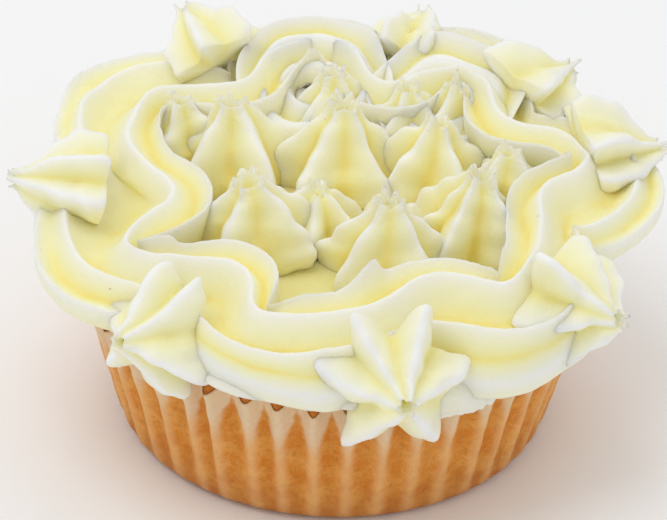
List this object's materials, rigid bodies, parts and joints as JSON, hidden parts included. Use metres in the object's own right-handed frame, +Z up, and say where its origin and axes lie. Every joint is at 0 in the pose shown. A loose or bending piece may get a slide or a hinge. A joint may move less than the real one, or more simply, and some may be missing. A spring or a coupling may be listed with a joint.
{
  "type": "cupcake",
  "caption": "Small iced sponge cake in a fluted paper baking case, topped with a wavy piped ring of pale buttercream and piped stars.",
  "frame": {"origin": "centre of the paper case's flat bottom, on the surface it stands on", "axes": "+Z up out of the cake, -Y towards the front, +X to the right seen from the front"},
  "size_m": [0.0762, 0.0732, 0.0379],
  "materials": {
    "case_paper": "matte",
    "sponge_cake": "matte",
    "buttercream": "satin"
  },
  "bodies": {
    "root": {"paper_case": "case_paper", "sponge": "sponge_cake", "cream_bed": "buttercream", "cream_ring": "buttercream", "rim_star_1": "buttercream", "rim_star_2": "buttercream", "rim_star_3": "buttercream", "rim_star_4": "buttercream", "rim_star_5": "buttercream", "rim_star_6": "buttercream", "rim_star_7": "buttercream", "rim_star_8": "buttercream", "centre_star_1": "buttercream", "centre_star_2": "buttercream", "centre_star_3": "buttercream", "centre_star_4": "buttercream", "centre_star_5": "buttercream", "centre_star_6": "buttercream", "centre_star_7": "buttercream", "centre_star_8": "buttercream", "centre_star_9": "buttercream", "centre_star_10": "buttercream", "centre_star_11": "buttercream", "centre_star_12": "buttercream"}
  },
  "joints": []
}
